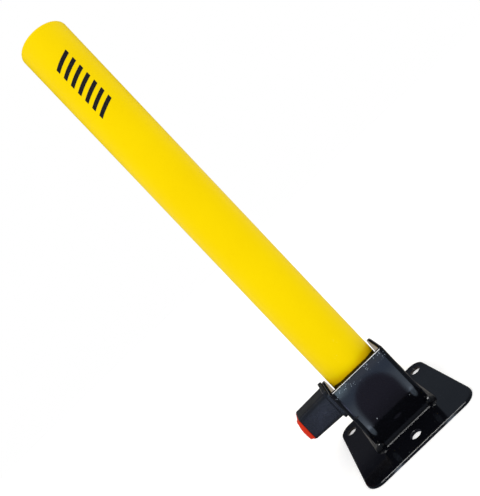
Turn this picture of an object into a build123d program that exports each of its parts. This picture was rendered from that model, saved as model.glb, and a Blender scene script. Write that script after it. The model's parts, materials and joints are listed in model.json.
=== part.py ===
from build123d import *
import os

# Fold-down parking bollard, in millimetres.  +Z runs up the raised post, +Y is the
# rear, the way the post folds, and the lock is on the -X side.  The origin is on the
# raised post's axis at the underside of the base plate.

# Base plate
PLATE_T = 3.0
PLATE_HALF_FRONT = 68.9
PLATE_HALF_REAR = 64.4
PLATE_Y_FRONT = -84.3
PLATE_Y_REAR = 51.6
PLATE_R_FRONT = 16.3
PLATE_R_REAR = 14.6
ANCHOR_R = 6.25
ANCHOR_SPOTS = ((0, -65.3), (-51.4, 33.6), (51.4, 33.6))  # x, y

# Pivot bracket, a U in plan
BR_T = 4.0
BR_HALF = 37.05
BR_IN_HALF = BR_HALF - BR_T
BR_FRONT = -38.6
BR_IN_FRONT = BR_FRONT + BR_T
BR_REAR = 35.1
BR_TOP = 78.1
BR_ARC_R = 34.0
BR_BEND_R = 5.0
BR_IN_BEND_R = 1.6
BR_EDGE_R = 1.7
WELD_LEG = 4.2
WELD_TAPER = 44
WELD_REAR = 33.0

# Post
POST_R = 30.0
POST_WALL = 2.5
POST_IN_R = POST_R - POST_WALL
POST_BOTTOM = 25.2
POST_TOP = 555.2
CAP_T = 4.2
CAP_BASE = POST_TOP - CAP_T
CAP_EDGE_R = 3.2
CAP_LIP_DEPTH = 6.0

# Pivot
PIVOT_Z = 35.0
PIN_R = 5.97
PIN_HOLE_R = 6.0
PIN_HEAD_R = 10.0
PIN_HEAD_X = BR_HALF + 2.4
SLEEVE_OR = 9.0
SLEEVE_IR = 6.05
SLEEVE_HALF = POST_R + 0.5
WASHER_OR = 12.0

# Lock, on an axis parallel to X.  Its key end is at -X, its bolt tip towards +X.
LOCK_Z = 56.5
STROKE = 9.0
BOLT_R = 4.5
BOLT_TIP = -32.9
BOLT_TAIL = -60.5
STEM_R = 3.0
STEM_LENGTH = 5.0
CROSS_PIN_X = -53.5
CROSS_PIN_R = 1.5
CROSS_PIN_HALF = 5.7

# Lock housing and its flange
HOUSING_END = -80.6
BORE_R = 9.6
GASKET_T = 0.8
FLANGE_T = 3.8
FLANGE_IN = -BR_HALF - GASKET_T
FLANGE_OUT = FLANGE_IN - FLANGE_T
FLANGE_Y = (-18.0, 17.6)
FLANGE_Z = (39.2, 78.4)
BUSH_R = 7.2
BUSH_HOLE_R = BUSH_R + 0.05
BUSH_HEAD_R = 9.0
BUSH_HEAD_X = FLANGE_OUT - 1.2
SCREW_SPOTS = [(y, z) for y in (-10.2, 10.2) for z in (47.2, 69.5)]
SCREW_R = 1.5
SCREW_HEAD_R = 3.0
SCREW_TIP = -47.0
GUIDE_X = -60.5
GUIDE_HOLE_R = 2.0
GUIDE_TIP_R = 1.5

# Lock barrel and key plug
BARREL_R = 9.53
BARREL_KEY_END = -76.5
BARREL_IN_END = -57.5
O_RING_GROOVE = (-75.1, -73.3)
PLUG_R = 5.45
PLUG_HEAD_R = 6.9
PLUG_HEAD_T = 2.0
WAFER_PITCH = 1.8
WAFER_X = [-72.9 + WAFER_PITCH * k for k in range(4)]
WAFER_LIFT = (0.25, -0.2, 0.4, 0.0)

# Dust cap
COVER_BACK = HOUSING_END - 0.05
COVER_Y = (-12.7, 13.4)
COVER_Z = (44.0, 71.9)
COVER_R = 4.2
COVER_DEPTH = 5.5

ALONG_X = Rot(0, 90, 0)
ALONG_Y = Rot(90, 0, 0)


# --- shared shapes ---

def bar_x(radius, x0, x1, y=0.0, z=LOCK_Z):
    """Round bar along X, on the lock axis unless placed elsewhere."""
    return Pos((x0 + x1) / 2, y, z) * ALONG_X * Cylinder(radius, abs(x1 - x0))


def bar_z(radius, z0, z1, x=0.0, y=0.0):
    return Pos(x, y, (z0 + z1) / 2) * Cylinder(radius, z1 - z0)


def ring_x(outer_r, inner_r, x0, x1, z=LOCK_Z):
    return bar_x(outer_r, x0, x1, z=z) - bar_x(inner_r, x0 - 1, x1 + 1, z=z)


def block(x0, x1, y0, y1, z0, z1):
    middle = Pos((x0 + x1) / 2, (y0 + y1) / 2, (z0 + z1) / 2)
    return middle * Box(x1 - x0, y1 - y0, z1 - z0)


def lock_block(x0, x1, half_y, half_z):
    """Block centred on the lock axis."""
    return block(x0, x1, -half_y, half_y, LOCK_Z - half_z, LOCK_Z + half_z)


def turned(points, z=LOCK_Z):
    """Solid of revolution about the X-parallel axis at z, from (x, radius) points."""
    wire = Polyline(*[(x, 0, z + radius) for x, radius in points], close=True)
    return revolve(Face(Wire(wire.edges())), Axis((0, 0, z), (1, 0, 0)), 360)


def rounded_face(x, y0, y1, z0, z1, radius):
    """Rounded rectangle facing +X at station x."""
    plane = Plane(
        origin=(x, (y0 + y1) / 2, (z0 + z1) / 2), x_dir=(0, 1, 0), z_dir=(1, 0, 0)
    )
    return plane * RectangleRounded(y1 - y0, z1 - z0, radius)


def hex_prism(radius, half_length):
    return extrude(RegularPolygon(radius, 6), amount=half_length, both=True)


def screw_body(y, z, tip, grow=0.0):
    """Countersunk screw, its head flush with the bracket's inner face."""
    shank_r = SCREW_R + grow
    points = [
        (-BR_IN_HALF + grow, 0),
        (-BR_IN_HALF + grow, SCREW_HEAD_R + grow),
        (-BR_IN_HALF - (SCREW_HEAD_R - SCREW_R), shank_r),
        (tip, shank_r),
        (tip, 0),
    ]
    return Pos(0, y, 0) * turned(points, z)


def round_front(solid, radius):
    """Round the upright edges furthest to the front."""
    return fillet(solid.edges().filter_by(Axis.Z).group_by(Axis.Y)[0], radius)


def edges_at_x(solid, x):
    """Edges lying wholly in the plane at x."""
    found = []
    for edge in solid.edges():
        box = edge.bounding_box()
        if abs(box.min.X - x) < 0.02 and abs(box.max.X - x) < 0.02:
            found.append(edge)
    return found


# --- base, bracket and pivot ---

def base_plate():
    """Trapezoid, wider at the front, with three anchor holes."""
    outline = Polyline(
        (-PLATE_HALF_FRONT, PLATE_Y_FRONT),
        (PLATE_HALF_FRONT, PLATE_Y_FRONT),
        (PLATE_HALF_REAR, PLATE_Y_REAR),
        (-PLATE_HALF_REAR, PLATE_Y_REAR),
        close=True,
    )
    sheet = make_face(outline.edges())
    sheet = fillet(sheet.vertices().filter_by(lambda v: v.Y < 0), PLATE_R_FRONT)
    rear_corners = [
        v for v in sheet.vertices() if abs(v.Y - PLATE_Y_REAR) < 0.01 and abs(v.X) > 60
    ]
    sheet = fillet(rear_corners, PLATE_R_REAR)
    plate = extrude(sheet, PLATE_T)
    plate = fillet(plate.faces().sort_by(Axis.Z)[-1].outer_wire().edges(), 1.1)
    plate = fillet(plate.faces().sort_by(Axis.Z)[0].outer_wire().edges(), 0.4)
    for x, y in ANCHOR_SPOTS:
        plate -= bar_z(ANCHOR_R, -1, PLATE_T + 1, x, y)
    return plate


def bracket_outer_edges(shell):
    """Outer edges up the rear, over the top and round both front bends."""
    bend_end = BR_FRONT + BR_BEND_R
    found = []
    for edge in shell.edges():
        box = edge.bounding_box()
        on_side = box.max.X - box.min.X < 0.02 and abs(abs(box.min.X) - BR_HALF) < 0.02
        if on_side and edge.center().Z > PLATE_T + 0.5 and box.max.Y > bend_end + 0.5:
            found.append(edge)
        elif box.min.Z > BR_TOP - 0.02 and box.min.Y < bend_end - 0.5:
            found.append(edge)
    return found


def is_inner_top_edge(edge):
    """True for the long straight top edges on the inside of the U."""
    middle = edge.center()
    on_inner_face = (
        abs(abs(middle.X) - BR_IN_HALF) < 0.05 or abs(middle.Y - BR_IN_FRONT) < 0.05
    )
    return (
        middle.Z > BR_TOP - 0.05
        and edge.geom_type == GeomType.LINE
        and edge.length > 20
        and on_inner_face
    )


def pivot_bracket():
    """U open to the rear, its side plates rounded at the top rear corner."""
    outer = block(-BR_HALF, BR_HALF, BR_FRONT, BR_REAR, PLATE_T, BR_TOP)
    outer = round_front(outer, BR_BEND_R)
    inner = block(-BR_IN_HALF, BR_IN_HALF, BR_IN_FRONT, BR_REAR + 20, 0, BR_TOP + 20)
    inner = round_front(inner, BR_IN_BEND_R)

    # Side view in (y, z), running 5 mm past the front face
    front = BR_FRONT - 5
    arc_y = BR_REAR - BR_ARC_R
    arc_z = BR_TOP - BR_ARC_R
    profile = [
        Line((front, 0), (front, BR_TOP)),
        Line((front, BR_TOP), (arc_y, BR_TOP)),
        CenterArc((arc_y, arc_z), BR_ARC_R, 0, 90),
        Line((BR_REAR, arc_z), (BR_REAR, 0)),
        Line((BR_REAR, 0), (front, 0)),
    ]
    shell = outer & extrude(Plane.YZ * make_face(profile), 50, both=True)
    bracket = fillet(bracket_outer_edges(shell), BR_EDGE_R) - inner
    bracket = chamfer([e for e in bracket.edges() if is_inner_top_edge(e)], 0.4)

    bracket -= bar_x(PIN_HOLE_R, -BR_HALF - 1, BR_HALF + 1, z=PIVOT_Z)
    bracket -= bar_x(BUSH_HOLE_R, -BR_HALF - 1, -BR_IN_HALF + 1)
    for y, z in SCREW_SPOTS:
        bracket -= screw_body(y, z, -BR_HALF - 2, grow=0.05)
    return bracket


def foot_weld():
    """One tapered bead along the bracket's front and both sides."""
    footprint = Plane.XY.offset(PLATE_T) * Pos(
        0, (BR_FRONT + WELD_REAR - WELD_LEG) / 2
    ) * Rectangle(2 * (BR_HALF + WELD_LEG), WELD_REAR - BR_FRONT + WELD_LEG)
    bead = extrude(footprint, WELD_LEG, taper=WELD_TAPER)
    sloping = bead.edges().filter_by(lambda e: abs(e.tangent_at(0).Z) > 0.3)
    bead = fillet(sloping.group_by(Axis.Y)[0], 4.0)
    bead -= block(-BR_HALF, BR_HALF, BR_FRONT + 5.2, BR_REAR + 20, 0, 20)
    core = block(-BR_HALF, BR_HALF, BR_FRONT, BR_REAR, PLATE_T - 1, BR_TOP)
    return bead - round_front(core, BR_BEND_R)


def pivot_pin():
    """Pin with a low hex-socket head at +X; the lock's flange covers its plain end."""
    pin = bar_x(PIN_R, -BR_HALF, BR_HALF + 0.1, z=PIVOT_Z)
    head = bar_x(PIN_HEAD_R, BR_HALF + 0.02, PIN_HEAD_X, z=PIVOT_Z)
    pin += fillet(head.edges().group_by(Axis.X)[-1], 1.6)
    return pin - Pos(PIN_HEAD_X, 0, PIVOT_Z) * ALONG_X * hex_prism(3.0, 2.0)


def pivot_washers():
    """One washer each side, between the sleeve's end and the bracket."""
    washers = []
    for side in (-1, 1):
        x0 = side * (SLEEVE_HALF + 0.06)
        x1 = side * (BR_IN_HALF - 0.05)
        washer = bar_x(WASHER_OR, x0, x1, z=PIVOT_Z)
        washer = fillet(washer.edges(), 0.4)
        washer -= bar_x(SLEEVE_IR, side * 29, side * 34, z=PIVOT_Z)
        washers.append(washer.solids()[0])
    return Compound(children=washers)


def stop_pad():
    """Pad on the bracket's inner front face, just clear of the post."""
    pad = block(-9, 9, BR_IN_FRONT, -POST_R - 0.1, 50.0, 70.0)
    pad = fillet(pad.edges().filter_by(Axis.Y), 3.0)
    return fillet(pad.faces().sort_by(Axis.Y)[-1].edges(), 0.8)


# --- lock housing and its fixings ---

def is_root_edge(edge):
    """True where the body meets the flange."""
    middle = edge.center()
    return abs(middle.Y) <= 14.9 and 41.0 < middle.Z < 75.5


def is_rim_edge(edge):
    """True on the straight sides of the flange's outline."""
    middle = edge.center()
    return (
        middle.Y < FLANGE_Y[0] + 1.6
        or middle.Y > FLANGE_Y[1] - 1.6
        or middle.Z < FLANGE_Z[0] + 0.2
        or middle.Z > FLANGE_Z[1] - 0.2
    )


def lock_housing():
    """Squarish body, widening towards a bolt-on flange."""
    end_face = rounded_face(HOUSING_END, -13.0, 13.8, 43.3, 72.9, 4.0)
    root_face = rounded_face(FLANGE_OUT + 0.5, -13.5, 14.2, 41.7, 74.2, 4.6)
    body = loft([end_face, root_face])
    flange = extrude(rounded_face(FLANGE_OUT, *FLANGE_Y, *FLANGE_Z, 7.0), FLANGE_T)
    housing = body + flange
    housing = fillet([e for e in edges_at_x(housing, FLANGE_OUT) if is_root_edge(e)], 1.9)
    housing = fillet([e for e in edges_at_x(housing, FLANGE_OUT) if is_rim_edge(e)], 0.5)
    housing = fillet(edges_at_x(housing, HOUSING_END), 0.8)

    housing -= bar_x(BORE_R, HOUSING_END - 1, FLANGE_OUT)
    housing -= bar_x(BUSH_HOLE_R, FLANGE_OUT - 1, FLANGE_IN + 1)
    for y, z in SCREW_SPOTS:
        housing -= bar_x(SCREW_R, SCREW_TIP - 0.3, FLANGE_IN + 1, y, z)
    # guide screw hole through the rear wall
    return housing - Pos(GUIDE_X, 12, LOCK_Z) * ALONG_Y * Cylinder(GUIDE_HOLE_R, 6)


def housing_gasket():
    sheet = rounded_face(FLANGE_IN, -17.5, 17.1, 40.1, 77.9, 6.5)
    gasket = extrude(sheet, GASKET_T)
    gasket -= bar_x(BUSH_R + 0.4, FLANGE_IN - 1, FLANGE_IN + 2)
    for y, z in SCREW_SPOTS:
        gasket -= bar_x(SCREW_R + 0.3, FLANGE_IN - 1, FLANGE_IN + 2, y, z)
    return gasket


def housing_screws():
    screws = []
    for y, z in SCREW_SPOTS:
        screw = screw_body(y, z, SCREW_TIP)
        screw -= Pos(-BR_IN_HALF, y, z) * ALONG_X * hex_prism(1.15, 1.3)
        screws.append(screw.solids()[0])
    return Compound(children=screws)


def barrel_guide_screw():
    """Screw in the rear wall whose thin tip runs in the barrel's slot."""
    screw = Pos(GUIDE_X, 11.3, LOCK_Z) * ALONG_Y * Cylinder(GUIDE_HOLE_R - 0.02, 3.4)
    screw += Pos(GUIDE_X, 9.0, LOCK_Z) * ALONG_Y * Cylinder(GUIDE_TIP_R, 1.4)
    return screw - Pos(GUIDE_X, 13.0, LOCK_Z) * ALONG_Y * hex_prism(1.0, 1.2)


def bolt_guide_bush():
    """Headed bush with the bolt's bore, a bayonet chamber and a slotted end wall."""
    bush = bar_x(BUSH_R, -50.0, -BR_IN_HALF)
    bush += bar_x(BUSH_HEAD_R, BUSH_HEAD_X, FLANGE_OUT)
    bush -= bar_x(BOLT_R + 0.06, -51, -BR_IN_HALF + 1)
    bush -= bar_x(6.2, -47.0, -40.0)
    return bush - lock_block(-51, -46.5, CROSS_PIN_R + 0.1, 5.98)


# --- moving parts of the lock ---

def return_spring():
    """Coil between the bush's head and the barrel's inner end."""
    coil_r = 8.2
    wire_r = 0.42
    turns = 4.5
    x0 = BARREL_IN_END + 0.5
    x1 = BUSH_HEAD_X - 0.5
    pitch = (x1 - x0 - 0.2) / turns
    path = Helix(pitch=pitch, height=pitch * turns, radius=coil_r)
    section = Plane(origin=path @ 0, z_dir=path % 0) * Circle(wire_r)
    return Pos(x0 + 0.1, 0, LOCK_Z) * ALONG_X * sweep(section, path=path)


def lock_barrel():
    barrel = bar_x(BARREL_R, BARREL_KEY_END, BARREL_IN_END)
    barrel = chamfer(barrel.edges(), 0.35)
    barrel -= bar_x(7.4, -63.0, BARREL_IN_END + 1)
    barrel -= bar_x(PLUG_R + 0.05, BARREL_KEY_END - 1, -62)
    head_seat = BARREL_KEY_END + PLUG_HEAD_T + 0.05
    barrel -= bar_x(PLUG_HEAD_R + 0.06, BARREL_KEY_END - 1, head_seat)
    # wafer grooves above and behind the plug
    for turn in (0, 90):
        groove = block(-74.5, -66.5, -2.4, 2.4, 0, 6.6)
        barrel -= Pos(0, 0, LOCK_Z) * Rot(-turn, 0, 0) * groove
    barrel -= ring_x(11.5, 7.95, *O_RING_GROOVE)
    # slot for the guide screw, one stroke long
    half = GUIDE_TIP_R + 0.1
    slot = block(
        GUIDE_X - STROKE - half, GUIDE_X + half, 8.15, 12, LOCK_Z - half, LOCK_Z + half
    )
    return barrel - fillet(slot.edges().filter_by(Axis.Y), half - 0.05)


def barrel_o_ring():
    return Pos(sum(O_RING_GROOVE) / 2, 0, LOCK_Z) * ALONG_X * Torus(8.77, 0.81)


def key_plug():
    """Headed plug with a circlip groove, keyway, bolt socket and wafer slots."""
    plug = bar_x(PLUG_HEAD_R, BARREL_KEY_END, BARREL_KEY_END + PLUG_HEAD_T)
    plug = chamfer(plug.edges().group_by(Axis.X)[0], 0.3)
    plug += bar_x(PLUG_R, BARREL_KEY_END + 1.5, BOLT_TAIL)
    plug -= ring_x(9, 4.6, -62.95, -62.05)
    plug -= lock_block(BARREL_KEY_END - 1, -66.4, 1.05, 3.4)
    plug -= bar_x(STEM_R + 0.02, BOLT_TAIL - STEM_LENGTH - 0.1, BOLT_TAIL + 1)
    for x in WAFER_X:
        plug -= lock_block(x - 0.5, x + 0.5, 2.25, 7)
    return plug


def wafer_tumblers():
    """Round-ended wafers, each with its window lifted by its own amount."""
    wafers = []
    for x, lift in zip(WAFER_X, WAFER_LIFT):
        wafer = lock_block(x - 0.45, x + 0.45, 2.2, 6)
        wafer &= bar_x(5.35, x - 1, x + 1)
        axis_z = LOCK_Z + lift
        wafer -= block(x - 1, x + 1, -1.15, 1.15, axis_z - 3.3, axis_z + 3.1)
        wafers.append(wafer.solids()[0])
    return Compound(children=wafers)


def plug_circlip():
    """Ring open at the bottom."""
    clip = ring_x(6.6, 4.65, -62.9, -62.15)
    return clip - block(-64, -61, -2.2, 2.2, LOCK_Z - 9, LOCK_Z)


def locking_bolt():
    """Bolt with a tapered tip and a thin stem that sits in the plug."""
    stem_end = BOLT_TAIL - STEM_LENGTH
    bolt = turned([
        (BOLT_TIP, 0), (BOLT_TIP, 3.0), (BOLT_TIP - 1.5, BOLT_R), (BOLT_TAIL, BOLT_R),
        (BOLT_TAIL, STEM_R), (stem_end, STEM_R), (stem_end, 0),
    ])
    return bolt - Pos(CROSS_PIN_X, 0, LOCK_Z) * Cylinder(CROSS_PIN_R, 30)


def bayonet_pin():
    pin = Pos(CROSS_PIN_X, 0, LOCK_Z) * Cylinder(CROSS_PIN_R, 2 * CROSS_PIN_HALF)
    return chamfer(pin.edges(), 0.3)


def dust_cap():
    """Squarish domed cover with a ring in the bore and a tab near its top."""
    # (distance out from the cover's back, z)
    side_points = [
        (0, COVER_Z[1]), (0.9, COVER_Z[1] - 0.1), (3.0, 66.2), (4.7, 61.0),
        (COVER_DEPTH, 54.0), (4.9, 49.5), (3.4, COVER_Z[0] + 0.5),
        (2.6, COVER_Z[0]), (0, COVER_Z[0]),
    ]
    outline = Polyline(*[(COVER_BACK - out, z) for out, z in side_points], close=True)
    cover = extrude(Plane.XZ * make_face(outline.edges()), 20, both=True)
    front_view = rounded_face(
        COVER_BACK, *COVER_Y, COVER_Z[0] - 0.5, COVER_Z[1] + 0.5, COVER_R
    )
    cover &= extrude(front_view, -12)

    ring_end = HOUSING_END - 0.6
    ring = turned([
        (-77.4, 7.7), (-77.4, 9.35), (-77.8, 9.55), (ring_end, 9.55), (ring_end, 7.7),
    ])
    lid = cover.solids()[0] + ring

    tab = block(COVER_BACK - 4.6, COVER_BACK - 0.8, -3.6, 3.6, 66.8, COVER_Z[1] - 0.6)
    tab = fillet(tab.edges().filter_by(Axis.X).group_by(Axis.Z)[-1], 1.6)
    top_edges = tab.edges().filter_by(Axis.Y).group_by(Axis.Z)[-1]
    return lid + fillet(top_edges.sort_by(Axis.X)[0], 0.8)


# --- post ---

def post_tube():
    tube = bar_z(POST_R, POST_BOTTOM, CAP_BASE)
    tube -= bar_z(POST_IN_R, POST_BOTTOM - 1, POST_TOP)
    tube -= bar_x(SLEEVE_OR + 0.02, -POST_R - 5, POST_R + 5, z=PIVOT_Z)
    return tube - bar_x(5.0, -POST_R - 5, 0)  # bolt hole


def post_cap():
    """Round-edged disc with a lip inside the tube."""
    cap = bar_z(POST_R, CAP_BASE, POST_TOP)
    cap = fillet(cap.edges().group_by(Axis.Z)[-1], CAP_EDGE_R)
    cap += bar_z(POST_IN_R - 0.1, CAP_BASE - CAP_LIP_DEPTH, CAP_BASE + 0.5)
    return cap - bar_z(POST_IN_R - 3, CAP_BASE - CAP_LIP_DEPTH - 1, CAP_BASE)


def pivot_sleeve():
    return ring_x(SLEEVE_OR, SLEEVE_IR, -SLEEVE_HALF, SLEEVE_HALF, z=PIVOT_Z)


def bolt_striker():
    """Ring round the bolt hole, against the inside of the tube."""
    ring = bar_x(8.0, -POST_R, -20.0) & bar_z(POST_IN_R - 0.02, 30, 90)
    return ring - bar_x(4.8, -POST_R - 5, 0)


# Each function is named after its piece.
PIECES = (
    base_plate, pivot_bracket, foot_weld, pivot_pin, pivot_washers, stop_pad,
    lock_housing, housing_gasket, housing_screws, barrel_guide_screw, bolt_guide_bush,
    return_spring, lock_barrel, barrel_o_ring, key_plug, wafer_tumblers, plug_circlip,
    locking_bolt, bayonet_pin, dust_cap, post_tube, post_cap, pivot_sleeve, bolt_striker,
)

os.makedirs("parts", exist_ok=True)
for piece in PIECES:
    solids = piece().solids()
    shape = Compound(children=list(solids)) if len(solids) > 1 else solids[0]
    export_step(shape, f"parts/{piece.__name__}.step")
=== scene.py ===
"""A yellow post that stands in a black pivot bracket welded to a base plate.

Metres, +Z up, floor at z = 0. The front faces -Y; the lock lies along X and its
red dust cover closes the left (-X) end. CAD pieces get materials here, and the
weld, dust cover, return spring and hazard bars are built as meshes.
"""
import bpy
import bmesh
import json
import math
import random
from mathutils import Matrix, Vector, noise

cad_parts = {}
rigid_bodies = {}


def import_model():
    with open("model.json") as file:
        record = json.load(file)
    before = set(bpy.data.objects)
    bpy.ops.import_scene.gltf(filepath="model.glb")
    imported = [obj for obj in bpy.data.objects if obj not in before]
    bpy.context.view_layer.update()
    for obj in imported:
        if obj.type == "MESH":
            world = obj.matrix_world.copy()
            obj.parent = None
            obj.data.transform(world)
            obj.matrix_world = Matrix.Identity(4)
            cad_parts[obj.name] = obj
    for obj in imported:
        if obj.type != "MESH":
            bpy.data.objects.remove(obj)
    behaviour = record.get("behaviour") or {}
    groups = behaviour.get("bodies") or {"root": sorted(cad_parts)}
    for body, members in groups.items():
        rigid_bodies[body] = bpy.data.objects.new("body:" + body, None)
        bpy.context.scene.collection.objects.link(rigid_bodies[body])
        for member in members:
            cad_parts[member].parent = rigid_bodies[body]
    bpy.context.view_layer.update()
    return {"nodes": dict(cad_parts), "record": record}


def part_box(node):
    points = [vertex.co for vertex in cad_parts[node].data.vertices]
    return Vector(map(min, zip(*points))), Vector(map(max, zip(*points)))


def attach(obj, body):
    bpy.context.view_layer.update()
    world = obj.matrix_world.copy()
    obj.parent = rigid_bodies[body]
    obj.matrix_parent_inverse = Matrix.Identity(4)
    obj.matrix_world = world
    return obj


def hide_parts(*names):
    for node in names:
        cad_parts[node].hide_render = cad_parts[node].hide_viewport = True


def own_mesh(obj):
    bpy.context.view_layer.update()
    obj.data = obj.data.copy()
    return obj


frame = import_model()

random.seed(7)
NODES = frame["nodes"]
MATERIALS = {}  # by the name asked for, which is also the slot's name

BRACKET_FRONT_Y = -0.0386  # where the floor's mirrored picture is aimed
CAMERA_AT = (-0.00312, -0.53367, 0.26468)


# ---------------------------------------------------------------- shader helpers
class Value:
    """A node's output that can be reckoned with; each operation adds one node."""

    def __init__(self, shader, socket):
        self.shader = shader
        self.socket = socket

    def output(self, name):
        """Another output of the same node."""
        return Value(self.shader, self.socket.node.outputs[name])

    def op(self, kind, second=0.0, third=0.0):
        return self.shader.node("ShaderNodeMath", self, second, third, operation=kind)

    def __add__(self, other):
        return self.op("ADD", other)

    def __sub__(self, other):
        return self.op("SUBTRACT", other)

    def __rsub__(self, other):
        return self.shader.node("ShaderNodeMath", other, self, 0.0, operation="SUBTRACT")

    def __mul__(self, other):
        return self.op("MULTIPLY", other)

    def __truediv__(self, other):
        return self.op("DIVIDE", other)

    def __abs__(self):
        return self.op("ABSOLUTE")

    def max(self, other):
        return self.op("MAXIMUM", other)

    def ramp(self, span=(0.3, 0.7), to=(0.0, 1.0), kind="SMOOTHSTEP"):
        """Goes from to[0] to to[1] while the value crosses span, in either direction."""
        return self.shader.node("ShaderNodeMapRange", self, *span, *to, interpolation_type=kind)

    def mix(self, base, to):
        """Colour that goes from base to `to` as the value goes from 0 to 1."""
        mixed = self.shader.node("ShaderNodeMix", self, output=2, data_type="RGBA")
        for index, colour in ((6, base), (7, to)):
            if not isinstance(colour, Value):
                colour = (*colour, 1.0)
            self.shader.feed(mixed.socket.node.inputs[index], colour)
        return mixed

    def bump(self, strength, distance, normal=None):
        inputs = {"Normal": normal} if normal else {}
        return self.shader.node(
            "ShaderNodeBump", Height=self, Strength=strength, Distance=distance, **inputs)


def length(across, along):
    return (across * across + along * along).op("SQRT")


class Shader:
    def __init__(self, tree, coordinates):
        self.tree = tree
        self.coordinates = self.node("ShaderNodeTexCoord", output=coordinates)

    def feed(self, socket, value):
        if isinstance(value, Value):
            self.tree.links.new(value.socket, socket)
        else:
            socket.default_value = value

    def node(self, kind, *slots, output=0, **settings):
        """slots fill the inputs in order. A lowercase setting is a property of the
        node, a capitalised one an input, with _ for a space."""
        made = self.tree.nodes.new(kind)
        for key, value in settings.items():
            if key[0].islower():
                setattr(made, key, value)
            else:
                self.feed(made.inputs[key.replace("_", " ")], value)
        for socket, value in zip(made.inputs, slots):
            self.feed(socket, value)
        return Value(self, made.outputs[output])

    def noise(self, scale, detail=3.0, rough=0.5, vector=None):
        return self.node("ShaderNodeTexNoise", Vector=vector or self.coordinates,
                         Scale=scale, Detail=detail, Roughness=rough)

    def streaks(self, stretch, detail=4.0):
        """Noise with its own scale along each of x, y and z."""
        mapped = self.node("ShaderNodeMapping", Vector=self.coordinates, Scale=stretch)
        return self.noise(scale=1.0, detail=detail, rough=0.6, vector=mapped)

    def cells(self, scale):
        """Distance to the nearest of scattered points."""
        return self.node("ShaderNodeTexVoronoi", Vector=self.coordinates, Scale=scale)

    def axes(self, vector=None):
        split = self.node("ShaderNodeSeparateXYZ", vector or self.coordinates)
        return [split.output(name) for name in "XYZ"]

    def geometry(self, output):
        return self.node("ShaderNodeNewGeometry", output=output)

    def vector_math(self, kind, first, second):
        return self.node("ShaderNodeVectorMath", first, second, output="Value", operation=kind)

    def bevel(self, radius):
        return self.node("ShaderNodeBevel", Radius=radius, samples=4)

    def edge_wear(self):
        """1 along outer edges, where a rounded normal leaves the true one."""
        agree = self.vector_math(
            "DOT_PRODUCT", self.bevel(radius=0.0006), self.geometry("Normal"))
        return (1.0 - agree).ramp(span=(0.02, 0.16))


class Surface(Shader):
    """A new material, drawn in object coordinates."""

    def __init__(self, name):
        material = bpy.data.materials.new(name)
        material.use_nodes = True
        super().__init__(material.node_tree, "Object")
        self.principled = self.tree.nodes["Principled BSDF"]
        MATERIALS[name] = material

    def paint(self, **inputs):
        for key, value in inputs.items():
            self.feed(self.principled.inputs[key.replace("_", " ")], value)


# ---------------------------------------------------------------- materials
def yellow_coat():
    """Semi-gloss powder coat: orange peel, faint drift, dust nibs and scuffs low down, grime
    and painted shade at the bracket's mouth.
    """
    coat = Surface("yellow_powder_coat")
    x, y, z = coat.axes()
    drift = coat.noise(scale=7.0, detail=4.0, rough=0.55).ramp(span=(0.35, 0.7))
    colour = drift.mix((0.915, 0.668, 0.0012), to=(0.895, 0.640, 0.0012))
    fine = coat.noise(scale=160.0, rough=0.6).ramp(span=(0.55, 0.8), to=(0.0, 0.18))
    colour = fine.mix(colour, to=(0.86, 0.58, 0.002))
    # pale dust nibs, thicker towards the foot
    nib = (coat.cells(scale=210.0).ramp(span=(0.06, 0.14), to=(1.0, 0.0))
           * coat.noise(scale=60.0, detail=1.0).ramp(span=(0.58, 0.66))
           * z.ramp(span=(0.20, 0.05)))
    colour = (nib * 0.55).mix(colour, to=(1.0, 0.86, 0.12))
    # rub marks where the post drops between the bracket's cheeks
    rub = (coat.streaks(stretch=(900, 900, 60)).ramp(span=(0.60, 0.72))
           * z.ramp(span=(0.095, 0.045)) * abs(x).ramp(span=(0.022, 0.029)))
    colour = (rub * 0.4).mix(colour, to=(0.55, 0.36, 0.01))
    # warm grime line and painted shade where the bracket's mouth rubs and shades the tube
    line = z + (coat.noise(scale=90.0) - 0.5) * 0.006
    grime_and_shade = (line.ramp(span=(0.0850, 0.0785)) * line.ramp(span=(0.050, 0.070))
             * y.ramp(span=(0.012, -0.016), to=(0.12, 1.0)))
    colour = (grime_and_shade * 0.35).mix(colour, to=(0.88, 0.40, 0.0008))
    # deep shade between the tube and the bracket's front, only while the post
    # stands (each point is then where it was drawn)
    shift = coat.vector_math("DISTANCE", coat.geometry("Position"), coat.coordinates)
    mouth = (z * 0.936 + y * 0.352 + (coat.noise(scale=240.0, detail=2.0) - 0.5) * 0.0006
             + abs(x).ramp(span=(0.016, 0.0275)) * -0.0012)
    shade = (shift.ramp(span=(0.0005, 0.0030), to=(1.0, 0.0))
             * mouth.ramp(span=(0.0630, 0.0618)) * line.ramp(span=(0.050, 0.060))
             * y.ramp(span=(-0.001, -0.010)))
    colour = (shade * 0.95).mix(colour, to=(0.020, 0.012, 0.003))
    peel = (coat.noise(scale=380.0, detail=2.0, rough=0.45)
            + coat.noise(scale=1400.0, detail=1.0) * 0.35 + nib * 1.5)
    sheen = coat.noise(scale=22.0, detail=5.0, rough=0.65)
    coat.paint(
        Base_Color=colour,
        Roughness=sheen.ramp(span=(0.3, 0.75), to=(0.26, 0.38)) + rub * 0.25,
        Normal=peel.bump(strength=0.05, distance=0.0004),
        Specular_IOR_Level=0.12,
        Specular_Tint=(1.0, 0.80, 0.008, 1.0),
    )


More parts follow.
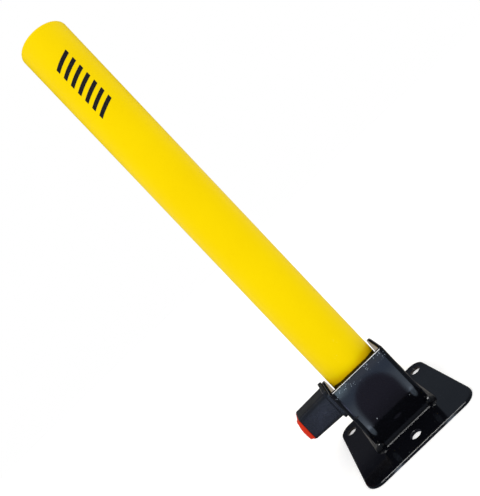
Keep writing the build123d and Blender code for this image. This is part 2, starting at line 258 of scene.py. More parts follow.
def black_coat(name, rounding, dull_ends=False):
    """Glossy powder coat on steel: orange peel, dust nibs, haze, thinner on the edges."""
    coat = Surface(name)
    x, y, z = coat.axes()
    drift = coat.noise(scale=11.0, detail=4.0, rough=0.55).ramp(span=(0.35, 0.7))
    colour = drift.mix((0.0027, 0.0029, 0.0044), to=(0.0018, 0.0019, 0.0030))
    # dust nibs: small raised specks in loose clusters
    nibs = (coat.cells(scale=330.0).ramp(span=(0.07, 0.15), to=(1.0, 0.0))
            * coat.noise(scale=48.0, detail=2.0).ramp(span=(0.62, 0.70)))
    colour = (nibs * 0.30).mix(colour, to=(0.12, 0.14, 0.16))
    # denser sandy nibs under the bracket's front top edge and upper left corner, their pale
    # colour a painted glint
    front = y.ramp(span=(-0.0372, -0.0382))
    top = front * z.ramp(span=(0.0655, 0.0725))
    corner = top * x.ramp(span=(-0.010, -0.026))
    cluster = coat.noise(scale=150.0, detail=2.0) + corner * 0.14
    sandy_nibs_and_glints = (coat.cells(scale=620.0).ramp(span=(0.16, 0.34), to=(1.0, 0.0))
             * cluster.ramp(span=(0.55, 0.62)) * top)
    colour = (sandy_nibs_and_glints * 0.9).mix(colour, to=(0.30, 0.36, 0.44))
    nibs = nibs + sandy_nibs_and_glints * 0.6

    def spot(centre, radii):
        """Soft ellipse on the front face; centre and radii are along x and z."""
        across = (x - centre[0]) / radii[0]
        along = (z - centre[1]) / radii[1]
        return length(across, along).ramp(span=(0.45, 1.0), to=(1.0, 0.0))

    # two soft painted reflections low on the front face, beside the bends, where the reflected
    # streaks end
    streak_grain = coat.streaks(stretch=(700, 700, 120)).ramp(span=(0.25, 0.6), to=(0.55, 1.0))
    painted_streak_ends = front * (
        spot(centre=(-0.0295, 0.0222), radii=(0.0036, 0.0082))
        + spot(centre=(0.0285, 0.0222), radii=(0.0038, 0.0078)) * 0.8) * streak_grain
    colour = (painted_streak_ends * 0.75).mix(colour, to=(0.075, 0.092, 0.115))
    # three small painted glints on the front face
    painted_glints = front * (
        spot(centre=(-0.0175, 0.0275), radii=(0.0007, 0.0010))
        + spot(centre=(0.0235, 0.0222), radii=(0.0007, 0.0007)) * 0.5
        + spot(centre=(0.0300, 0.0745), radii=(0.0007, 0.0007)) * 0.7)
    colour = painted_glints.mix(colour, to=(0.30, 0.33, 0.36))
    dent = front * spot(centre=(-0.0318, 0.0425), radii=(0.0026, 0.0013)).max(
        spot(centre=(-0.0338, 0.0440), radii=(0.0012, 0.0012)))
    # fine wipe marks, mostly vertical
    wipe = coat.streaks(stretch=(420, 420, 26), detail=5.0).ramp(span=(0.50, 0.75))
    haze = coat.noise(scale=26.0, detail=5.0, rough=0.65).ramp(span=(0.35, 0.75))
    if rounding:
        colour = (coat.edge_wear() * 0.30).mix(colour, to=(0.05, 0.055, 0.06))
    peel = (coat.noise(scale=420.0, detail=2.0, rough=0.45)
            + coat.noise(scale=1500.0, detail=1.0) * 0.3 + nibs * 3.0)
    # haze times its weight, over the clean coat's roughness, then the marks
    roughness = (haze.op("MULTIPLY_ADD", second=0.045, third=0.055)
                 + wipe * 0.035 + nibs * 0.1 + dent * 0.6)
    if dull_ends:
        ends = abs(x).ramp(span=(0.0318, 0.0350)) * y.ramp(span=(-0.0270, -0.0345))
        roughness = roughness + ends * 0.30
    # the sheared top rim carries a thin, dull coat
    up = coat.axes(coat.geometry("Normal"))[2]
    rim = z.ramp(span=(0.0768, 0.0776)) * up.ramp(span=(0.965, 0.990))
    coat.paint(
        Base_Color=colour,
        Roughness=roughness,
        Normal=peel.bump(strength=0.032, distance=0.0004,
                         normal=coat.bevel(rounding) if rounding else None),
        IOR=1.52,
        Specular_IOR_Level=rim.ramp(span=(0.0, 1.0), to=(0.5, 0.03)),
    )


def charcoal_plastic():
    plastic = Surface("charcoal_plastic")
    grain = (plastic.noise(scale=2600.0, detail=1.0)
             + plastic.noise(scale=300.0) * 0.5)
    # faces that look up are duller
    up = plastic.axes(plastic.geometry("Normal"))[2]
    tone = plastic.noise(scale=40.0, detail=4.0).ramp()
    colour = tone.mix((0.0074, 0.0094, 0.0152), to=(0.0105, 0.0130, 0.0205))
    plastic.paint(
        Base_Color=(plastic.edge_wear() * 0.35).mix(colour, to=(0.045, 0.052, 0.06)),
        Roughness=plastic.noise(scale=90.0, detail=4.0).ramp(to=(0.22, 0.32))
        + up.ramp(span=(0.90, 0.99), to=(0.0, 0.24)),
        Normal=grain.bump(strength=0.14, distance=0.0003, normal=plastic.bevel(radius=0.0004)),
    )


def red_rubber():
    rubber = Surface("red_rubber")
    # painted shade: darker in the moulded grooves and round the tab, where the surface is
    # enclosed
    openness = rubber.node(
        "ShaderNodeAmbientOcclusion", output="AO", samples=8, Distance=0.0045)
    painted_crease_shade = openness.ramp(span=(0.30, 0.97), to=(1.0, 0.0), kind="LINEAR")
    tone = rubber.noise(scale=60.0, detail=4.0).ramp()
    red = tone.mix((0.72, 0.032, 0.0045), to=(0.61, 0.024, 0.004))
    rubber.paint(
        Base_Color=(painted_crease_shade * 0.80).mix(red, to=(0.11, 0.006, 0.003)),
        Roughness=rubber.noise(scale=120.0, detail=4.0).ramp(to=(0.34, 0.5)),
        Normal=rubber.noise(scale=900.0, detail=2.0).bump(strength=0.12, distance=0.0003),
        Specular_IOR_Level=0.12,
    )


def black_rubber():
    rubber = Surface("black_rubber")
    tone = rubber.noise(scale=200.0, detail=4.0)
    rubber.paint(
        Base_Color=tone.mix((0.007, 0.007, 0.007), to=(0.014, 0.014, 0.013)),
        Roughness=rubber.noise(scale=150.0, detail=4.0).ramp(to=(0.6, 0.8)),
        Normal=rubber.noise(scale=1200.0, detail=2.0).bump(strength=0.2, distance=0.0003),
        Specular_IOR_Level=0.3,
    )


def metal(name, dark, light, rough, stretch):
    """Bare metal with tool lines and brighter edges."""
    bare = Surface(name)
    lines = bare.streaks(stretch)
    worn = tuple(min(1.0, part * 1.3) for part in light)
    bare.paint(
        Base_Color=(bare.edge_wear() * 0.4).mix(lines.ramp().mix(dark, to=light), to=worn),
        Metallic=1.0,
        Roughness=bare.noise(scale=160.0, detail=4.0).ramp(to=(rough * 0.8, rough * 1.3)),
        Normal=lines.bump(strength=0.12, distance=0.0002, normal=bare.bevel(radius=0.00025)),
    )


# name, dark colour, light colour, roughness, line noise scale along x, y, z
METALS = (
    ("zinc_plated_steel", (0.66, 0.68, 0.71), (0.80, 0.80, 0.78), 0.28, (900, 900, 900)),
    ("machined_steel", (0.52, 0.52, 0.54), (0.66, 0.65, 0.64), 0.26, (3800, 90, 90)),
    ("spring_steel", (0.38, 0.38, 0.40), (0.50, 0.49, 0.48), 0.34, (1200, 1200, 1200)),
    ("lock_brass", (0.72, 0.52, 0.20), (0.82, 0.63, 0.28), 0.26, (3600, 80, 80)),
    ("plug_brass", (0.74, 0.56, 0.24), (0.84, 0.66, 0.32), 0.22, (700, 4200, 700)),
    ("wafer_brass", (0.78, 0.62, 0.30), (0.85, 0.70, 0.38), 0.30, (500, 500, 2800)),
)


def natural_nylon():
    nylon = Surface("natural_nylon")
    nylon.paint(
        Base_Color=nylon.noise(scale=120.0).mix((0.74, 0.71, 0.62), to=(0.82, 0.79, 0.70)),
        Roughness=nylon.noise(scale=80.0, detail=4.0).ramp(to=(0.36, 0.5)),
        Normal=nylon.noise(scale=900.0, detail=2.0).bump(strength=0.1, distance=0.0003),
    )


def black_print():
    ink = Surface("black_print")
    tone = ink.noise(scale=500.0, detail=4.0).ramp(span=(0.35, 0.7))
    ink.paint(
        Base_Color=tone.mix((0.006, 0.005, 0.009), to=(0.014, 0.012, 0.018)),
        Roughness=ink.noise(scale=200.0, detail=4.0).ramp(to=(0.32, 0.5)),
        Normal=ink.noise(scale=1600.0, detail=2.0).bump(strength=0.1, distance=0.0002),
    )


yellow_coat()
black_coat("black_powder_coat", rounding=0.0005)
black_coat("black_powder_coat_weld", rounding=0.0, dull_ends=True)
black_coat("black_powder_coat_plate", rounding=0.0010)
charcoal_plastic()
red_rubber()
black_rubber()
for row in METALS:
    metal(*row)
natural_nylon()

for row in frame["record"]["subparts"]:
    is_plate = row["node"] == "base_plate"
    slots = NODES[row["node"]].data.materials
    slots.clear()
    slots.append(MATERIALS["black_powder_coat_plate" if is_plate else row["material_slot"]])


# ---------------------------------------------------------------- mesh helpers
def build_mesh(name, verts, faces, material):
    mesh = bpy.data.meshes.new(name)
    mesh.from_pydata([tuple(v) for v in verts], [], faces)
    mesh.validate()
    mesh.update()
    bm = bmesh.new()
    bm.from_mesh(mesh)
    bmesh.ops.recalc_face_normals(bm, faces=bm.faces)
    bm.to_mesh(mesh)
    bm.free()
    for polygon in mesh.polygons:
        polygon.use_smooth = True
    made = bpy.data.objects.new(name, mesh)
    bpy.context.collection.objects.link(made)
    mesh.materials.append(MATERIALS[material])
    return made


def skin(rings, size, closed=False):
    """Quads between neighbouring rings of `size` vertices."""
    faces = []
    for i in range(rings if closed else rings - 1):
        this, following = i * size, (i + 1) % rings * size
        for j in range(size):
            k = (j + 1) % size
            faces.append((this + j, this + k, following + k, following + j))
    return faces


def capped_skin(rings, size):
    last = (rings - 1) * size
    return skin(rings, size) + [tuple(range(size))[::-1], tuple(range(last, last + size))]


# ---------------------------------------------------------------- weld bead
PLATE_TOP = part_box("base_plate")[1][2]
bracket_lo, bracket_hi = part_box("pivot_bracket")
BRACKET_HALF_X, FRONT_Y = bracket_hi[0], bracket_lo[1]
WELD_LEFT_X, WELD_RIGHT_X, WELD_BACK_Y = -0.0315, 0.0325, 0.0325
WELD_STEP = 0.00045
RIPPLE_PITCH = 0.0016
END_TAPER = 6.0       # stations over which each end thins out
ROOT_IN = 0.0009      # how far the hidden root goes into the wall
SIDE_LEAD = 0.0048    # side beads start this far in front of the bracket
CORNER_RUN = 0.0098   # length over which they come round the corner

# Sections, from the toe on the plate to the wall: (out from the wall, up).
# Front bead: steep leaning flank under a crisp crown, nearly level top.
FLANK = (
    (0.00475, -0.0003), (0.00475, 0.00025), (0.00470, 0.00060), (0.00458, 0.00100),
    (0.00436, 0.00145), (0.00408, 0.00192), (0.00374, 0.00240), (0.00334, 0.00298),
    (0.00290, 0.00302), (0.00230, 0.00305), (0.00150, 0.00310), (0.00080, 0.00316),
    (0.0, 0.00322),
)
FLANK_CROWN = 7  # index of the crisp edge
# Side beads: rounder, rope-like.
ROPE = (
    (0.00400, -0.0003), (0.00405, 0.00040), (0.00400, 0.00095), (0.00382, 0.00150),
    (0.00350, 0.00205), (0.00305, 0.00255), (0.00250, 0.00300), (0.00190, 0.00340),
    (0.00125, 0.00375), (0.00065, 0.00405), (0.00025, 0.00440), (0.0, 0.00490),
)


def bead(name, stations, outward, section, seed, crown=None, flare=0.0):
    """A run of weld through stations of (point, root depth), standing out along
    outward. flare swells its start; crown is the section index kept sharp."""
    verts = []
    last = len(stations) - 1
    run = 0.0
    previous = stations[0][0]
    for i, (point, root) in enumerate(stations):
        run += (point - previous).length
        previous = point
        # stacked ripples, spacing and size wandering along the run
        phase = run / RIPPLE_PITCH + 0.6 * noise.noise(Vector((run * 180, 1.3, seed)))
        ripple = abs(math.sin(phase * math.pi)) ** 0.7
        wander = noise.noise(Vector((run * 55, seed, 4.2)))
        size = 1.0 + 0.09 * wander + 0.05 * (ripple - 0.6)
        near = math.exp(-((run / 0.006) ** 2))
        end = min(1.0, min(i, last - i) / END_TAPER)
        end = math.sqrt(max(0.0, 1 - (1 - end) ** 2)) * 0.75 + 0.25
        reach = size * (1.0 + flare * near) * end
        climb = size * (1.0 + 1.6 * flare * near) * end
        for out, up in section:
            spot = point + outward * (out * reach)
            verts.append((spot.x, spot.y, PLATE_TOP + up * climb))
        # hidden root inside the wall and the plate closes the section
        spot = point - outward * root
        verts.append((spot.x, spot.y, PLATE_TOP + section[-1][1] * climb - 0.0002))
        verts.append((spot.x, spot.y, PLATE_TOP - 0.0003))
    width = len(section) + 2
    weld = build_mesh(name, verts, capped_skin(last + 1, width), "black_powder_coat_weld")
    for edge in weld.data.edges:
        a, b = edge.vertices
        if a % width == crown and b % width == crown and abs(a - b) == width:
            edge.use_edge_sharp = True
    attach(weld, "base")
    return weld


def line_points(start, end):
    count = max(2, int((end - start).length / WELD_STEP))
    return [start.lerp(end, i / count) for i in range(count + 1)]


def side_stations(side):
    """Starts proud of the front face and fills the corner behind it."""
    stations = []
    for point in line_points(Vector((side * BRACKET_HALF_X, FRONT_Y - SIDE_LEAD)),
                             Vector((side * BRACKET_HALF_X, WELD_BACK_Y))):
        t = min(1.0, max(0.0, (point.y - FRONT_Y + SIDE_LEAD) / CORNER_RUN))
        moved = Vector((point.x - side * 0.0010 * (1 - t) ** 2, point.y))
        stations.append((moved, ROOT_IN + 0.0052 * (1 - t) ** 1.2))
    return stations


front_points = line_points(Vector((WELD_LEFT_X, FRONT_Y)), Vector((WELD_RIGHT_X, FRONT_Y)))
front_bead = bead("foot_weld_front", [(point, ROOT_IN) for point in front_points],
                  outward=Vector((0, -1)), section=FLANK, seed=4.2, crown=FLANK_CROWN)
for tag, side in (("left", -1), ("right", 1)):
    bead("foot_weld_" + tag, side_stations(side), outward=Vector((side, 0)),
         section=ROPE, seed=7.7 + side, flare=0.16)
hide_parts("foot_weld")


# ---------------------------------------------------------------- dust cover
barrel_lo, barrel_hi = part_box("lock_barrel")
LOCK_Z = (barrel_lo[2] + barrel_hi[2]) / 2
LOCK_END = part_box("lock_housing")[0][0]

COVER_Y, COVER_Z = 0.00035, 0.05795
COVER_HALF_Y, COVER_HALF_Z, COVER_CORNER = 0.01305, 0.01395, 0.0042
COVER_BACK = LOCK_END - 0.00005  # x of the face against the housing
COVER_TOP_DEPTH = 0.0011         # above the last row of the table
# height z in mm, how far the cover stands out there in mm
COVER_DEPTH = (
    (44.0, 3.648), (45.0, 4.56), (47.0, 5.073), (52.0, 5.472), (58.0, 5.472),
    (64.0, 5.016), (68.0, 4.104), (70.5, 2.622), (71.9, 1.368),
)
# Rings from the back face over the rim wall, its parting line and the groove:
# (inset from the outline, share of the rim's height)
COVER_RIM = (
    (0.0012, 0.0), (0.0002, 0.0), (0.0, 0.16), (0.0, 0.42), (-0.00012, 0.50), (0.0, 0.58),
    (0.0, 0.82), (0.0002, 0.96), (0.0006, 1.00), (0.0009, 0.97), (0.0011, 1.02),
)
DOME_INSET = COVER_RIM[-1][0]
DOME_ROWS = 11

# Finger tab: (share of its length, growth of half width, growth of half height)
TAB_STEPS = (
    (0.0, 0.0, 0.0), (0.30, 0.0, 0.0), (0.42, 0.0, 0.0), (0.48, 0.0002, 0.00016),
    (0.54, 0.0, 0.0), (0.62, 0.0, 0.0), (0.68, 0.0002, 0.00016), (0.74, 0.0, 0.0),
    (0.86, -0.0002, -0.00010), (0.95, -0.0006, -0.00035), (0.99, -0.0012, -0.00065),
    (1.0, -0.0017, -0.00085),
)
TAB_ROOT, TAB_TIP = LOCK_END - 0.0012, LOCK_END - 0.0053
TAB_Y, TAB_Z = 0.0003, 0.0672
TAB_HALF_Y, TAB_HALF_Z = 0.0040, 0.00105
TAB_DROOP = -0.0009

# Plug ring section: (x from the lock's end, radius)
PLUG_SECTION = (
    (0.0032, 0.0077), (0.0032, 0.0092), (0.0029, 0.00942), (0.0025, 0.00952),
    (0.0021, 0.00938), (0.0016, 0.00938), (0.0012, 0.00952), (0.0008, 0.00938),
    (-0.0004, 0.00938), (-0.0004, 0.0077),
)
PLUG_SEGMENTS = 96


def cover_depth(z):
    z *= 1000.0
    for (z0, depth0), (z1, depth1) in zip(COVER_DEPTH, COVER_DEPTH[1:]):
        if z <= z1:
            t = max(0.0, (z - z0) / (z1 - z0))
            return (depth0 + (depth1 - depth0) * t) * 0.001
    return COVER_TOP_DEPTH


def rim_height(z):
    return min(0.0017, 0.62 * cover_depth(z))


def rounded_rect(cy, cz, half_y, half_z, radius, seg, straight):
    """Closed loop of (y, z, outward normal y, z) round a rounded rectangle."""
    loop = []
    # centre of each corner's arc and its first angle in half turns
    corners = [(cy + half_y - radius, cz + half_z - radius, 0.0),
               (cy - half_y + radius, cz + half_z - radius, 0.5),
               (cy - half_y + radius, cz - half_z + radius, 1.0),
               (cy + half_y - radius, cz - half_z + radius, 1.5)]
    for k, (arc_y, arc_z, turn) in enumerate(corners):
        for i in range(seg + 1):
            a = (turn + 0.5 * i / seg) * math.pi
            loop.append((arc_y + radius * math.cos(a), arc_z + radius * math.sin(a),
                         math.cos(a), math.sin(a)))
        y0, z0, normal_y, normal_z = loop[-1]
        next_y, next_z, turn = corners[(k + 1) % 4]
        a = turn * math.pi
        y1, z1 = next_y + radius * math.cos(a), next_z + radius * math.sin(a)
        for i in range(1, straight):
            t = i / straight
            loop.append((y0 + (y1 - y0) * t, z0 + (z1 - z0) * t, normal_y, normal_z))
    return loop


def dome_point(y, z, normal_y, normal_z, t):
    """Point a share t of the way from the groove to the centre of the dome."""
    in_y, in_z = y - normal_y * DOME_INSET, z - normal_z * DOME_INSET
    in_y, in_z = in_y + (COVER_Y - in_y) * t, in_z + (COVER_Z - in_z) * t
    shoulder = min(1.0, t * math.hypot(y - COVER_Y, z - COVER_Z) / 0.0022)
    rise = math.sqrt(max(0.0, 1 - (1 - shoulder) ** 2))
    from_centre = math.hypot(in_y - COVER_Y, in_z - COVER_Z)
    top = cover_depth(in_z) + 0.0007 * max(0.0, 1 - (from_centre / 0.0125) ** 2)
    # flattened towards the top and the back (+Y)
    top -= (0.0014 * max(0.0, min(1.0, (in_z - 0.060) / 0.010))
            * max(0.0, min(1.0, (in_y + 0.008) / 0.018)))
    low = rim_height(z)
    return COVER_BACK - (low + (max(top, low) - low) * rise), in_y, in_z


def dust_cover():
    loop = rounded_rect(COVER_Y, COVER_Z, COVER_HALF_Y, COVER_HALF_Z, COVER_CORNER,
                        seg=10, straight=8)
    size = len(loop)
    verts = []
    for inset, share in COVER_RIM:
        for y, z, normal_y, normal_z in loop:
            verts.append((COVER_BACK - share * rim_height(z),
                          y - normal_y * inset, z - normal_z * inset))
    for row in range(DOME_ROWS):
        t = (row + 1) / (DOME_ROWS + 1)
        verts.extend(dome_point(*place, t) for place in loop)
    tip = len(verts)
    verts.append((COVER_BACK - cover_depth(COVER_Z), COVER_Y, COVER_Z))
    faces = skin(tip // size, size)
    last = tip - size
    faces += [(last + i, last + (i + 1) % size, tip) for i in range(size)]
    faces.append(tuple(range(size))[::-1])
    return build_mesh("dust_cover", verts, faces, "red_rubber")


def finger_tab():
    """Lip that a fingernail catches: a rounded fin with two grip ribs."""
    verts = []
    for t, grow_y, grow_z in TAB_STEPS:
        x = TAB_ROOT + (TAB_TIP - TAB_ROOT) * t
        loop = rounded_rect(TAB_Y, TAB_Z + TAB_DROOP * t * t, TAB_HALF_Y + grow_y,
                            TAB_HALF_Z + grow_z, min(0.0009, 0.00104 + grow_z),
                            seg=5, straight=4)
        verts.extend((x, y, z) for y, z, _, _ in loop)
    faces = capped_skin(len(TAB_STEPS), len(loop))
    return build_mesh("dust_cover_tab", verts, faces, "red_rubber")


def plug_ring():
    """Ribbed ring turned about the lock's axis."""
    verts = []
    for i in range(PLUG_SEGMENTS):
        a = 2 * math.pi * i / PLUG_SEGMENTS
        for x, radius in PLUG_SECTION:
            verts.append((LOCK_END + x, radius * math.cos(a), LOCK_Z + radius * math.sin(a)))
    faces = skin(PLUG_SEGMENTS, len(PLUG_SECTION), closed=True)
    return build_mesh("dust_cover_plug_ring", verts, faces, "red_rubber")


cover = dust_cover()
for piece in (cover, finger_tab(), plug_ring()):
    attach(piece, "dust_cap")
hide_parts("dust_cap")

# ---------------------------------------------------------------- return spring
spring_lo, spring_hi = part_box("return_spring")
WIRE = 0.00042            # radius of the wire
COIL_RADIUS = 0.0082      # lock's axis to the middle of the wire
TURNS = 5.0
CLOSED_TURNS = 0.7        # at each end, before the pitch opens
OPENING = 0.35            # turns over which it opens
COIL_STEPS = int(TURNS * 56)
WIRE_SEGMENTS = 12


def coil_stations():
    """x of the wire's middle at each step: closed end coils, open in between."""
    closed = WIRE * 2.06
    openness = []
    for i in range(COIL_STEPS):
        t = (i + 0.5) / COIL_STEPS * TURNS
        k = min(1.0, max(0.0, (min(t, TURNS - t) - CLOSED_TURNS) / OPENING))
        openness.append(k * k * (3 - 2 * k))
    start, end = spring_lo[0] + WIRE * 0.70, spring_hi[0] - WIRE * 0.70
    free = (end - start) - closed * TURNS
    share = sum(openness)
    stations = [start]
    for k in openness:
        stations.append(stations[-1] + closed * TURNS / COIL_STEPS + free * k / share)
    return stations


def return_coil():
    """Compression spring on the lock's axis, end coils closed and ground flat."""
    stations = coil_stations()
    arc = COIL_RADIUS * 2 * math.pi * TURNS / COIL_STEPS
    verts = []
    for i, x in enumerate(stations):
        a = 2 * math.pi * TURNS * i / COIL_STEPS
        j = min(i, COIL_STEPS - 1)
        advance = stations[j + 1] - stations[j]
        tangent = Vector((advance, -math.sin(a) * arc, math.cos(a) * arc)).normalized()
        radial = Vector((0, math.cos(a), math.sin(a)))
        sideways = tangent.cross(radial).normalized()
        middle = Vector((x, COIL_RADIUS * math.cos(a), LOCK_Z + COIL_RADIUS * math.sin(a)))
        for q in range(WIRE_SEGMENTS):
            b = 2 * math.pi * q / WIRE_SEGMENTS
            vert = middle + radial * (WIRE * math.cos(b)) + sideways * (WIRE * math.sin(b))
            vert.x = min(spring_hi[0], max(spring_lo[0], vert.x))
            verts.append(vert)
    faces = capped_skin(len(stations), WIRE_SEGMENTS)
    return build_mesh("return_coil", verts, faces, "spring_steel")


coil = return_coil()
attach(coil, "base")
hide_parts("return_spring")
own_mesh(coil)

# ---------------------------------------------------------------- hazard bars
black_print()
post_lo, post_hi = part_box("post_tube")
POST_RADIUS = (post_hi[0] - post_lo[0]) / 2
PRINT_THICKNESS = 0.00012
PRINT_SUNK = 0.0002                 # inner skin, below the tube's surface
BAR_FROM, BAR_TO = -20.0, 22.0      # degrees from the front, towards +X
BARS_BOTTOM, BARS_TOP = 0.4430, 0.5160
BAR_COUNT = 7
BAR_PITCH = (BARS_TOP - BARS_BOTTOM) / BAR_COUNT
BAR_HEIGHT = BAR_PITCH * 0.48
BAR_SLANT = BAR_PITCH * 0.9         # rise from one end to the other
BAR_COLUMNS, BAR_ROWS = 14, 10


def hazard_bar(name, bottom):
    """One slanted printed bar wrapped on the tube, as a thin closed skin."""
    verts, faces = [], []
    for layer in (POST_RADIUS - PRINT_SUNK, POST_RADIUS + PRINT_THICKNESS):
        for i in range(BAR_COLUMNS + 1):
            u = i / BAR_COLUMNS
            a = math.radians(BAR_FROM + (BAR_TO - BAR_FROM) * u)
            for j in range(BAR_ROWS + 1):
                z = bottom + BAR_HEIGHT * j / BAR_ROWS + BAR_SLANT * u
                border = i in (0, BAR_COLUMNS) or j in (0, BAR_ROWS)
                thinned = border and layer > POST_RADIUS
                radius = layer - (PRINT_THICKNESS * 0.6 if thinned else 0.0)
                verts.append((radius * math.sin(a), -radius * math.cos(a), z))

    def at(layer, i, j):
        return (layer * (BAR_COLUMNS + 1) + i) * (BAR_ROWS + 1) + j

    for i in range(BAR_COLUMNS):
        for j in range(BAR_ROWS):
            faces.append((at(1, i, j), at(1, i + 1, j), at(1, i + 1, j + 1), at(1, i, j + 1)))
            faces.append((at(0, i, j), at(0, i, j + 1), at(0, i + 1, j + 1), at(0, i + 1, j)))
    for i in range(BAR_COLUMNS):
        for j in (0, BAR_ROWS):
            faces.append((at(0, i, j), at(0, i + 1, j), at(1, i + 1, j), at(1, i, j)))
    for j in range(BAR_ROWS):
        for i in (0, BAR_COLUMNS):
            faces.append((at(0, i, j), at(1, i, j), at(1, i, j + 1), at(0, i, j + 1)))
    made = build_mesh(name, verts, faces, "black_print")
    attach(made, "post")


for k in range(BAR_COUNT):
    hazard_bar("hazard_bar_%d" % (k + 1), BARS_BOTTOM + BAR_PITCH * k)

# ---------------------------------------------------------------- floor
ARCH_X, ARCH_HALF, ARCH_TOP = -0.0005, 0.0265, 0.0680  # dark arch on the bracket's face
POOL_X, POOL_Y = -0.076, -0.160


def painted_reflection_floor(surface):
    """Painted reflection: the glow mirrored rays see on the floor, a dim, cool pattern with a
    soft dark arch.
    """
    x, y, _ = surface.axes()
    # where a ray from the camera, mirrored to this floor point, met the bracket's front
    t = (BRACKET_FRONT_Y - y) / (BRACKET_FRONT_Y - CAMERA_AT[1])
    spread = (t + 1.0).max(0.2)
    face_z = t * CAMERA_AT[2] / spread
    face_x = (x - t * -CAMERA_AT[0]) / spread

    from_arch = length(abs(face_x - ARCH_X), (face_z - (ARCH_TOP - ARCH_HALF)).max(0.0))
    inside = from_arch.ramp(span=(ARCH_HALF - 0.004, ARCH_HALF + 0.002), to=(1.0, 0.0))
    arch = face_z.ramp(span=(0.020, 0.045)).mix((0.13, 0.13, 0.18), to=(0.22, 0.21, 0.32))
    outer = face_z.ramp(span=(0.045, 0.062)).mix((0.95, 1.15, 1.45), to=(0.50, 0.66, 0.98))
    # bright surround low beside the arch, weaker on the right
    glow = (from_arch.ramp(span=(ARCH_HALF - 0.001, ARCH_HALF + 0.003))
            * face_z.ramp(span=(0.042, 0.020)))
    weaker = face_x.ramp(span=(-0.010, 0.010), to=(1.0, 0.50))
    outer = (glow * weaker).mix(outer, to=(1.9, 2.2, 2.6))
    outer = face_z.ramp(span=(0.066, 0.073)).mix(outer, to=(0.74, 0.86, 1.12))
    # brightest at the upper left
    crown = face_z.ramp(span=(0.066, 0.074)) * face_x.ramp(span=(-0.012, -0.026))
    outer = crown.mix(outer, to=(2.0, 2.7, 3.3))
    outer = abs(face_x).ramp(span=(0.0325, 0.0385)).mix(outer, to=(0.10, 0.12, 0.15))
    reflected_pattern = inside.mix(outer, arch)
    # a soft pool of light beside it, seen by the lock's satin side
    pool = length(x - POOL_X, y - POOL_Y).ramp(span=(0.008, 0.042), to=(1.0, 0.0))
    reflected_pattern = (pool * x.ramp(span=(-0.052, -0.060))).mix(reflected_pattern, to=(1.35, 1.5, 2.3))
    # bright sweep behind the object, shaded on the left
    shade = x.ramp(span=(-0.050, -0.070)) * y.ramp(span=(0.150, 0.100))
    reflected_pattern = y.ramp(span=(-0.015, 0.06)).mix(reflected_pattern, to=(0.45, 0.395, 0.33))
    return (shade * y.ramp(span=(0.02, 0.04))).mix(reflected_pattern, to=(0.06, 0.06, 0.07))


def floor_white():
    surface = Surface("floor_white")
    tone = surface.noise(scale=3.0, detail=4.0)
    surface.paint(
        Base_Color=tone.mix((0.95, 0.95, 0.95), to=(0.93, 0.93, 0.93)),
        Roughness=0.9,
        Specular_IOR_Level=0.0,
    )
    # the floor glows with this painted reflection for glossy rays only
    mirrored = surface.node("ShaderNodeEmission", Color=painted_reflection_floor(surface))
    rays = surface.node("ShaderNodeLightPath")
    # brightens the floor for the camera only
    lift = surface.node("ShaderNodeEmission", Color=(1, 1, 1, 1),
                        Strength=rays.output("Is Camera Ray") * 0.16)
    plain = Value(surface, surface.principled.outputs[0])
    seen = surface.node("ShaderNodeAddShader", plain, lift)
    final = surface.node("ShaderNodeMixShader", rays.output("Is Glossy Ray"), seen, mirrored)
    surface.feed(surface.tree.nodes["Material Output"].inputs[0], final)


bpy.ops.mesh.primitive_circle_add(
    vertices=96, radius=9.0, fill_type="NGON", location=(0, 0, 0))
floor = bpy.context.object
floor.name = "floor"
floor_white()
floor.data.materials.append(MATERIALS["floor_white"])


# ---------------------------------------------------------------- world
def studio_world():
    """White light for everything but glossy rays, which see a dim tent."""
    world = bpy.data.worlds.new("studio")
    bpy.context.scene.world = world
    world.use_nodes = True
    sky = Shader(world.node_tree, "Generated")
    x, y, z = sky.axes()
    white = sky.tree.nodes["Background"]
    white.inputs["Color"].default_value = (1, 1, 1, 1)
    white.inputs["Strength"].default_value = 1.0
    left = z.ramp(span=(0.458, 0.480)).mix((0.086, 0.089, 0.112), to=(0.012, 0.013, 0.022))
    tent = x.ramp(span=(-0.07, 0.05)).mix(left, to=(0.132, 0.156, 0.192))
    tent = z.ramp(span=(0.405, 0.430)).mix((0.05, 0.055, 0.065), to=tent)
    # paler near and below the horizon
    tent = z.ramp(span=(0.32, 0.16)).mix(tent, to=(0.50, 0.49, 0.47))
    # one even colour towards the front
    tent = y.ramp(span=(-0.30, 0.10)).mix((0.12, 0.14, 0.17), to=tent)
    dim = sky.node("ShaderNodeBackground", Color=tent)
    glossy = sky.node("ShaderNodeLightPath", output="Is Glossy Ray")
    final = sky.node("ShaderNodeMixShader", glossy, Value(sky, white.outputs[0]), dim)
    sky.feed(sky.tree.nodes["World Output"].inputs[0], final)


studio_world()


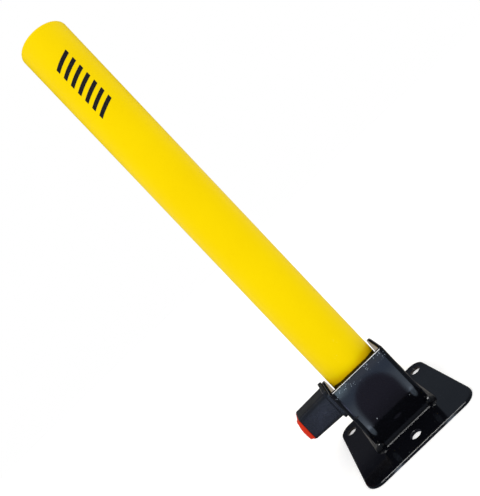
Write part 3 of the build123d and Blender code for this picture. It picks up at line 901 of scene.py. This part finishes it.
# ---------------------------------------------------------------- lights
def area(name, at, size, power, target=(0, 0, 0), diffuse=True, glossy=True):
    light = bpy.data.lights.new(name, "AREA")
    light.shape = "RECTANGLE"
    light.size, light.size_y = size
    light.energy = power
    lamp = bpy.data.objects.new(name, light)
    lamp.location = at
    lamp.rotation_euler = (Vector(target) - Vector(at)).to_track_quat("-Z", "Y").to_euler()
    lamp.visible_diffuse = diffuse
    lamp.visible_glossy = glossy
    bpy.context.collection.objects.link(lamp)
    return lamp


area("key", at=(-0.9, -1.2, 2.2), size=(1.4, 1.4), power=10, target=(0, 0, 0.2), glossy=False)
sheen = area("top_sheen", at=(0, -0.1, 1.7), size=(1.3, 1.1), power=80, diffuse=False)
soft = area("top_soft", at=(0, -0.1, 1.75), size=(1.3, 1.1), power=1.6, diffuse=False)
strip = area("plate_strip", at=(0, -0.95, 1.55), size=(1.3, 0.62), power=45, diffuse=False)

# the hard sheen is flagged off the satin plastic, the rubber and the yellow post
crisp = bpy.data.collections.new("crisp_receivers")
satin = bpy.data.collections.new("satin_receivers")
flat = bpy.data.collections.new("plate_receivers")
MATTE = {"yellow_powder_coat", "charcoal_plastic", "red_rubber", "black_rubber", "black_print"}
for item in list(bpy.data.objects):
    if item.type != "MESH" or item is floor:
        continue
    names = {slot.name.split(".")[0] for slot in item.data.materials if slot}
    if item is NODES["base_plate"]:
        flat.objects.link(item)
    else:
        (satin if names & MATTE else crisp).objects.link(item)
flat.objects.link(NODES["pivot_bracket"])
sheen.light_linking.receiver_collection = crisp
soft.light_linking.receiver_collection = satin
strip.light_linking.receiver_collection = flat

# ---------------------------------------------------------------- camera
TURN = Vector((0.0234, -0.018, -0.759))  # rotation axis times angle, in radians
# rows are the view's right, down and forward directions
view = (Matrix.Rotation(TURN.length, 3, TURN.normalized())
        @ Matrix(((1, 0, 0), (0, 0, -1), (0, 1, 0))))
lens = bpy.data.cameras.new("camera")
lens.lens = 35.523
lens.sensor_width = 36.0
lens.clip_start, lens.clip_end = 0.01, 60
camera = bpy.data.objects.new("camera", lens)
facing = Matrix((view[0], -view[1], -view[2])).transposed()
camera.matrix_world = Matrix.Translation(CAMERA_AT) @ facing.to_4x4()
bpy.context.collection.objects.link(camera)
bpy.context.scene.camera = camera
bpy.context.scene.view_settings.view_transform = "Standard"
